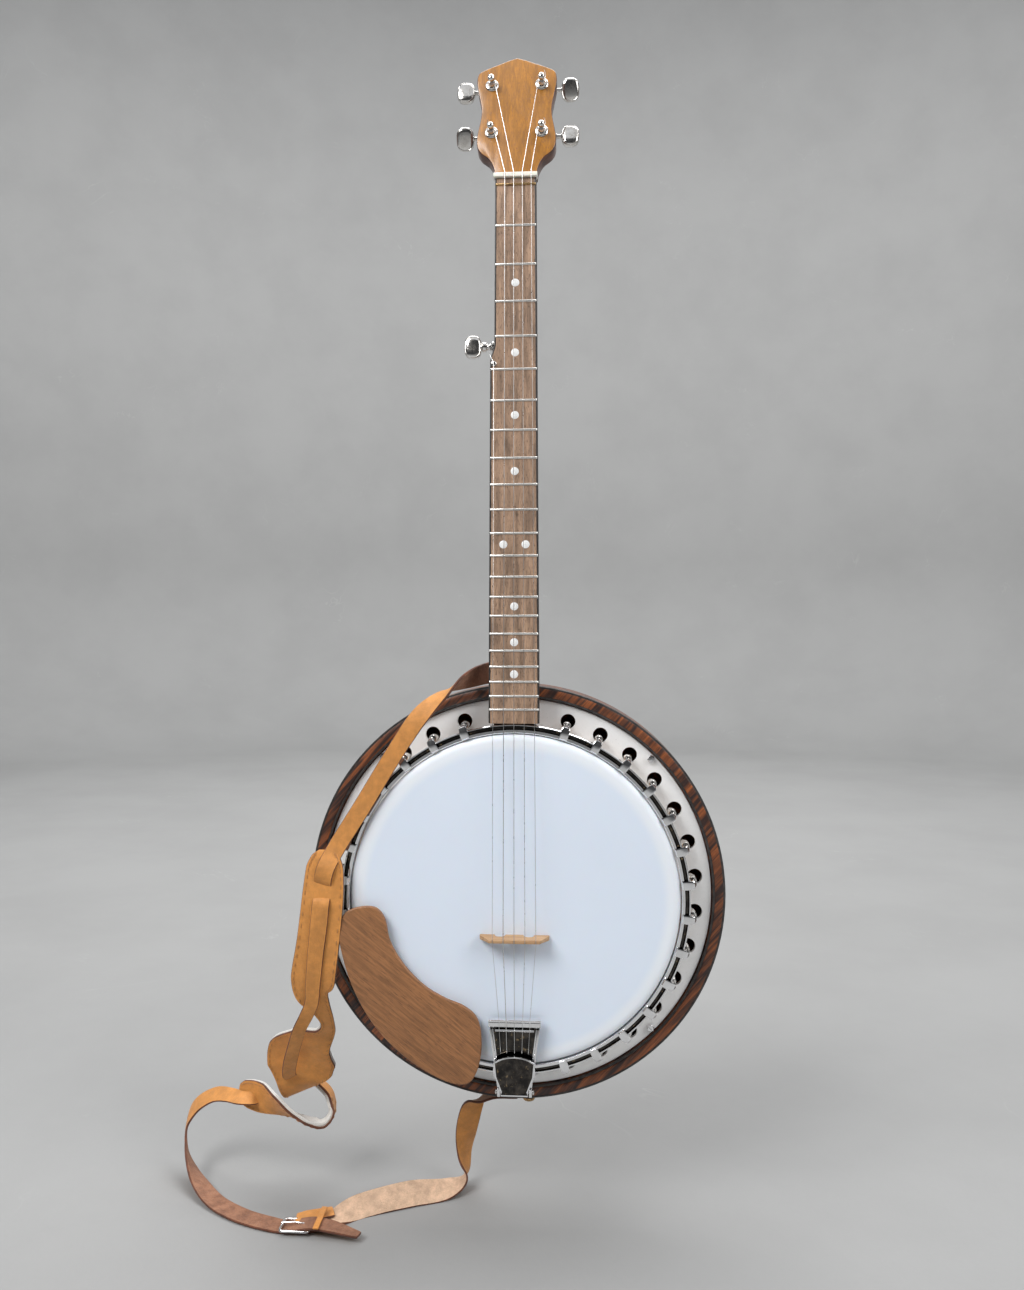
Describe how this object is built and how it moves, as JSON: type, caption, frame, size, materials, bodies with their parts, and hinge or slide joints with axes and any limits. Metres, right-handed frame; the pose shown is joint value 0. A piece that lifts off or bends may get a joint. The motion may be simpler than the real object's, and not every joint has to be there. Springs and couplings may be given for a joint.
{
  "type": "banjo",
  "caption": "Resonator banjo with fretted neck, fifth-string peg, geared tuners, hinged clamshell tailpiece, armrest and leather shoulder strap.",
  "frame": {"origin": "centre of the flat middle of the resonator's back, on the pot's axis", "axes": "+Z along the neck towards the headstock, +Y out of the resonator's back, +X to the right when facing the playing side"},
  "size_m": [0.5144, 0.1228, 1.0261],
  "materials": {
    "rosewood": "polished lacquer",
    "binding_black": "gloss",
    "rim_maple": "satin",
    "head_film": "frosted coating",
    "flange_plate": "satin plated",
    "chrome_trim": "polished",
    "neck_wood": "satin lacquer",
    "board_wood": "open grain, oiled",
    "bone_white": "smooth",
    "bridge_maple": "bare, sanded",
    "string_steel": "drawn wire",
    "walnut": "satin lacquer",
    "leather_tan": "oiled",
    "button_brass": "aged"
  },
  "bodies": {
    "banjo": {"resonator_bowl": "rosewood", "resonator_edge_binding": "binding_black", "resonator_inner_binding": "binding_black", "rim_shell": "rim_maple", "drum_head": "head_film", "flange": "flange_plate", "tension_hoop": "chrome_trim", "rod_front": "chrome_trim", "rod_back": "chrome_trim", "resonator_screw_1": "chrome_trim", "resonator_screw_2": "chrome_trim", "resonator_screw_3": "chrome_trim", "resonator_screw_4": "chrome_trim", "fretboard": "board_wood", "neck": "neck_wood", "nut": "bone_white", "fifth_string_nut": "chrome_trim", "bridge": "bridge_maple", "string_1": "string_steel", "string_2": "string_steel", "string_3": "string_steel", "string_4": "string_steel", "string_5": "string_steel", "tailpiece_base": "chrome_trim", "tailpiece_pin": "chrome_trim", "armrest_plate": "walnut", "armrest_clamp_1": "chrome_trim", "armrest_clamp_2": "chrome_trim", "tuner_bushing_1": "chrome_trim", "tuner_housing_1": "chrome_trim", "tuner_bushing_2": "chrome_trim", "tuner_housing_2": "chrome_trim", "tuner_bushing_3": "chrome_trim", "tuner_housing_3": "chrome_trim", "tuner_bushing_4": "chrome_trim", "tuner_housing_4": "chrome_trim", "fifth_peg_sleeve": "chrome_trim", "strap_upper": "leather_tan", "strap_pad": "leather_tan", "strap_tail": "leather_tan", "strap_lower": "leather_tan", "strap_buckle": "chrome_trim", "strap_keeper": "leather_tan", "strap_button": "button_brass"},
    "button_1": {"tuner_button_1": "chrome_trim"},
    "post_1": {"tuner_post_1": "chrome_trim"},
    "button_2": {"tuner_button_2": "chrome_trim"},
    "post_2": {"tuner_post_2": "chrome_trim"},
    "button_3": {"tuner_button_3": "chrome_trim"},
    "post_3": {"tuner_post_3": "chrome_trim"},
    "button_4": {"tuner_button_4": "chrome_trim"},
    "post_4": {"tuner_post_4": "chrome_trim"},
    "fifth_peg": {"fifth_peg": "chrome_trim"},
    "tailpiece_cover": {"tailpiece_cover": "chrome_trim"}
  },
  "joints": [
    {"name": "button_1_turn", "type": "hinge", "parent": "banjo", "child": "button_1", "pos_m": [0.022, -0.03788, 0.71537], "axis": [1, 0, 0], "continuous": true},
    {"name": "post_1_turn", "type": "hinge", "parent": "banjo", "child": "post_1", "pos_m": [0.022, -0.05798, 0.71079], "axis": [0, 0.9848, -0.1736], "continuous": true},
    {"name": "button_2_turn", "type": "hinge", "parent": "banjo", "child": "button_2", "pos_m": [0.022, -0.04587, 0.67006], "axis": [1, 0, 0], "continuous": true},
    {"name": "post_2_turn", "type": "hinge", "parent": "banjo", "child": "post_2", "pos_m": [0.022, -0.06597, 0.66548], "axis": [0, 0.9848, -0.1736], "continuous": true},
    {"name": "button_3_turn", "type": "hinge", "parent": "banjo", "child": "button_3", "pos_m": [-0.022, -0.04587, 0.67006], "axis": [1, 0, 0], "continuous": true},
    {"name": "post_3_turn", "type": "hinge", "parent": "banjo", "child": "post_3", "pos_m": [-0.022, -0.06597, 0.66548], "axis": [0, 0.9848, -0.1736], "continuous": true},
    {"name": "button_4_turn", "type": "hinge", "parent": "banjo", "child": "button_4", "pos_m": [-0.022, -0.03788, 0.71537], "axis": [1, 0, 0], "continuous": true},
    {"name": "post_4_turn", "type": "hinge", "parent": "banjo", "child": "post_4", "pos_m": [-0.022, -0.05798, 0.71079], "axis": [0, 0.9848, -0.1736], "continuous": true},
    {"name": "fifth_peg_turn", "type": "hinge", "parent": "banjo", "child": "fifth_peg", "pos_m": [-0.03, -0.0724, 0.47575], "axis": [1, 0, 0], "continuous": true},
    {"name": "tailpiece_cover_hinge", "type": "hinge", "parent": "banjo", "child": "tailpiece_cover", "pos_m": [0.001, -0.1072, -0.1595], "axis": [1, 0, 0], "range_deg": [0, 100]}
  ],
  "couplings": [
    {"joint": "post_1_turn", "follows": "button_1_turn", "ratio": 0.07143},
    {"joint": "post_2_turn", "follows": "button_2_turn", "ratio": 0.07143},
    {"joint": "post_3_turn", "follows": "button_3_turn", "ratio": -0.07143},
    {"joint": "post_4_turn", "follows": "button_4_turn", "ratio": -0.07143}
  ]
}
